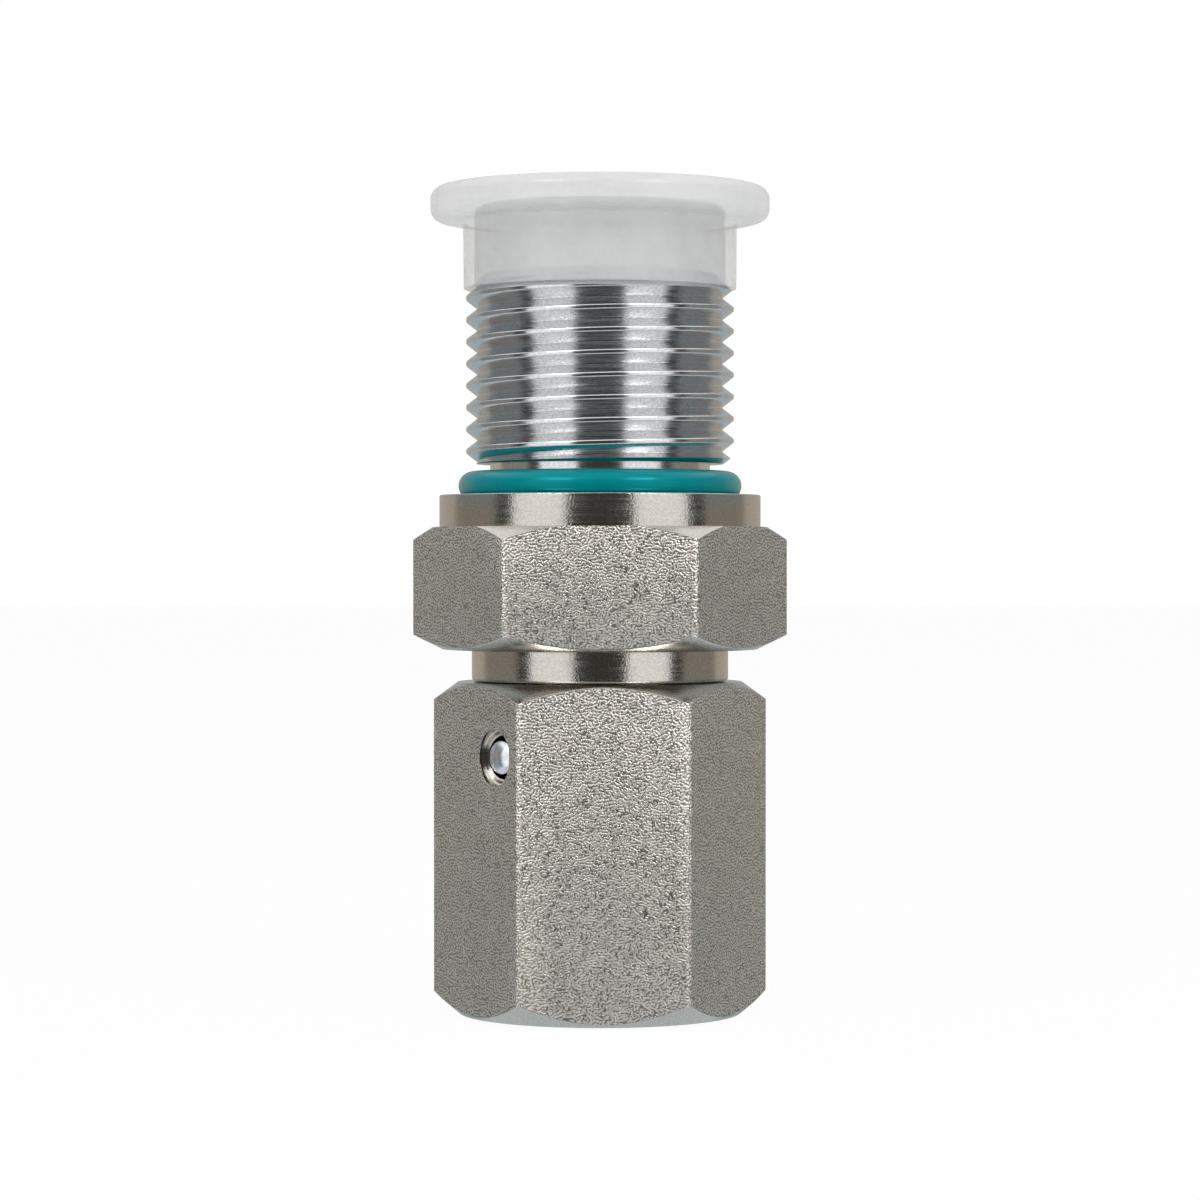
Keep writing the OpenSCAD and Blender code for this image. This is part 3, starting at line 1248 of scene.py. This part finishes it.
@dataclass(frozen=True)
class Studio:
    """Floor, surrounding light, lamps and camera. Distances are in metres.

    The steel mirrors upright cards round about. The stretches of depth say where they start and
    end: towards the camera depth is minus one, and straight behind the object it is one.
    """

    camera_distance: float = 0.316
    camera_height: float = 0.03716
    camera_near: float = 0.01
    aim_height: float = 0.03416
    lens: float = 114.2
    sensor: float = 36.0
    fill_low: float = 0.55
    fill_high: float = 0.63
    fill_heights: Stretch = (-0.3, 0.9)
    dark_glow: float = 0.05
    bright_glow: float = 1.02
    bright_from: Stretch = (-0.925, -0.905)
    bright_to: Stretch = (-0.43, -0.4)
    side_glow: float = 0.225
    side_from: Stretch = (-0.21, -0.155)
    back_glow: float = 0.205
    back_from: Stretch = (0.55, 0.62)
    top_glow: float = 1.05
    top_from: Stretch = (0.5, 0.6)
    low_glow: float = 0.7
    low_to: Stretch = (-0.6, -0.5)
    warm: Colour = (1.0, 0.9, 0.78)
    cool: Colour = (0.85, 0.95, 1.0)
    cool_from: Stretch = (0.005, 0.04)
    floor_size: float = 6.0
    floor_drop: float = 0.00002
    floor_paint: float = 0.8
    floor_glow_share: float = 0.955
    lamp_reach: float = 0.6
    lamps: tuple[Lamp, ...] = (
        Lamp("soft_lamp", turn=46.0, rise=40.0, size=(0.44, 0.44), power=0.35, mirrored=False),
        Lamp("spark_lamp", turn=38.0, rise=36.0, size=(0.26, 0.16), power=1.1, mirrored=True),
    )

    def camera(self) -> None:
        """Sets up the camera at the photograph's viewing angle."""
        data = bpy.data.cameras.new("camera")
        data.lens = self.lens
        data.sensor_width = self.sensor
        data.clip_start = self.camera_near
        camera = bpy.data.objects.new("camera", data)
        camera.location = (0, -self.camera_distance, self.camera_height)
        aim = Vector((0, 0, self.aim_height)) - camera.location
        camera.rotation_euler = aim.to_track_quat("-Z", "Y").to_euler()
        bpy.context.collection.objects.link(camera)
        bpy.context.scene.camera = camera

    def surroundings(self) -> None:
        """Sets the white background, an even light from above, and the cards that steel mirrors."""
        world = bpy.data.worlds.new("studio")
        world.use_nodes = True
        kit = ShaderKit(world.node_tree)
        direction = kit.node("ShaderNodeTexCoord", {}, {}, "Generated")
        flat = kit.node("ShaderNodeVectorMath", {"operation": "MULTIPLY"}, {0: direction, 1: (1, 1, 0)})
        level = kit.node("ShaderNodeVectorMath", {"operation": "NORMALIZE"}, {0: flat})
        depth = kit.node("ShaderNodeSeparateXYZ", {}, {"Vector": level}, "Y")
        height = kit.node("ShaderNodeSeparateXYZ", {}, {"Vector": direction}, "Z")
        bright = kit.rise(depth, self.bright_from) * kit.fall(depth, self.bright_to)
        side = kit.rise(depth, self.side_from)
        back = kit.rise(depth, self.back_from)
        front = self.dark_glow + bright * self.bright_glow
        round_about = front + side * self.side_glow + back * self.back_glow
        above = kit.rise(height, self.top_from)
        below = kit.fall(height, self.low_to)
        ends = above * self.top_glow + below * self.low_glow
        cards = round_about * (1 - above) * (1 - below) + ends
        mirrored = kit.node("ShaderNodeLightPath", {}, {}, "Is Glossy Ray")
        seen = kit.node("ShaderNodeLightPath", {}, {}, "Is Camera Ray")
        through = kit.node("ShaderNodeLightPath", {}, {}, "Is Transmission Ray")
        plain = kit.node("ShaderNodeMath", {"operation": "MAXIMUM"}, {0: seen, 1: through})
        fill = kit.spread(height, *self.fill_heights, self.fill_low, self.fill_high)
        strength = (fill * (1 - plain) + plain) * (1 - mirrored) + cards * mirrored
        # Away from the bright cards, the light is warm near the horizon and cool above and below
        shade = kit.tint(kit.rise(height * height, self.cool_from), self.warm, self.cool)
        plain_share = 1 - mirrored * (1 - bright) * (1 - above)
        colour = kit.tint(plain_share, shade, (1.0, 1.0, 1.0))
        sky = kit.node("ShaderNodeBackground", {}, {"Color": colour, "Strength": strength})
        kit.node("ShaderNodeOutputWorld", {}, {"Surface": sky})
        bpy.context.scene.world = world

    def floor(self) -> None:
        """Lays a plain white floor that keeps a faint shadow and lets the steel mirror the cards."""
        made = bpy.data.materials.new("white_floor")
        made.use_nodes = True
        kit = ShaderKit(made.node_tree)
        paint = kit.node("ShaderNodeBsdfDiffuse", {}, {"Color": (*[self.floor_paint] * 3, 1)})
        glow = kit.node("ShaderNodeEmission", {}, {"Color": (1, 1, 1, 1), "Strength": 1.0})
        clear = kit.node("ShaderNodeBsdfTransparent", {}, {})
        seen = kit.node("ShaderNodeLightPath", {}, {}, "Is Camera Ray")
        mirrored = kit.node("ShaderNodeLightPath", {}, {}, "Is Glossy Ray")
        white = kit.node("ShaderNodeMixShader", {}, {0: seen * self.floor_glow_share, 1: paint, 2: glow})
        mixed = kit.node("ShaderNodeMixShader", {}, {0: mirrored, 1: white, 2: clear})
        kit.node("ShaderNodeOutputMaterial", {}, {"Surface": mixed})
        bpy.ops.object.select_all(action="DESELECT")
        bpy.ops.mesh.primitive_plane_add(size=self.floor_size, location=(0, 0, -self.floor_drop))
        floor = bpy.context.object
        floor.name = "floor"
        Bench.settle(floor)
        Bench.dress(floor, [made])

    def hang(self, lamp: Lamp, side: int) -> None:
        """Hangs one lamp, aimed at the fitting.

        Args:
            lamp: The lamp.
            side: Minus one for the camera's left, one for its right.
        """
        data = bpy.data.lights.new(lamp.name, "AREA")
        data.shape = "RECTANGLE"
        data.size, data.size_y = lamp.size
        data.energy = lamp.power
        hung = bpy.data.objects.new(lamp.name, data)
        hung.visible_glossy = lamp.mirrored
        turned, raised = math.radians(side * lamp.turn), math.radians(lamp.rise)
        middle = Vector((0, 0, self.aim_height))
        away = Vector((math.sin(turned), -math.cos(turned), math.tan(raised)))
        hung.location = middle + away * self.lamp_reach
        hung.rotation_euler = (middle - hung.location).to_track_quat("-Z", "Y").to_euler()
        bpy.context.collection.objects.link(hung)

    def build(self) -> None:
        """Sets up the whole studio."""
        self.camera()
        self.surroundings()
        self.floor()
        for side in (-1, 1):
            for lamp in self.lamps:
                self.hang(lamp, side)
        bpy.context.scene.view_settings.view_transform = "Standard"


def dress_nodes(nodes: dict[str, bpy.types.Object], names: Iterable[str], finish: bpy.types.Material) -> None:
    """Gives plain solids that are shown as they are a finish.

    Args:
        nodes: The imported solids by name.
        names: The solids to dress.
        finish: Their material.
    """
    for name in names:
        nodes[name].data.materials.clear()
        nodes[name].data.materials.append(finish)


def main() -> None:
    """Builds the studio and the fitting."""
    logging.basicConfig(level=logging.INFO, format="%(message)s")
    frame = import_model()
    Studio().build()

    turned = TURNED_STEEL.material()
    thread = THREAD_STEEL.material()
    peened = PEENED_STEEL.material()
    rubber = SEAL_RUBBER.material()
    plastic = MILKY_PLASTIC.material()
    wire = DRAWN_WIRE.material()

    nodes = frame["nodes"]
    nut = SwivelNut()
    StudBody().build(turned, peened, thread)
    nut.build(turned, peened)
    WireEnd().build(nut, nodes["retaining_wire"], wire)
    ProtectiveCap().build(plastic)
    dress_nodes(nodes, ("stud_o_ring", "nose_o_ring"), rubber)
    dress_nodes(nodes, ("retaining_wire",), wire)


if __name__ == "__main__":
    main()
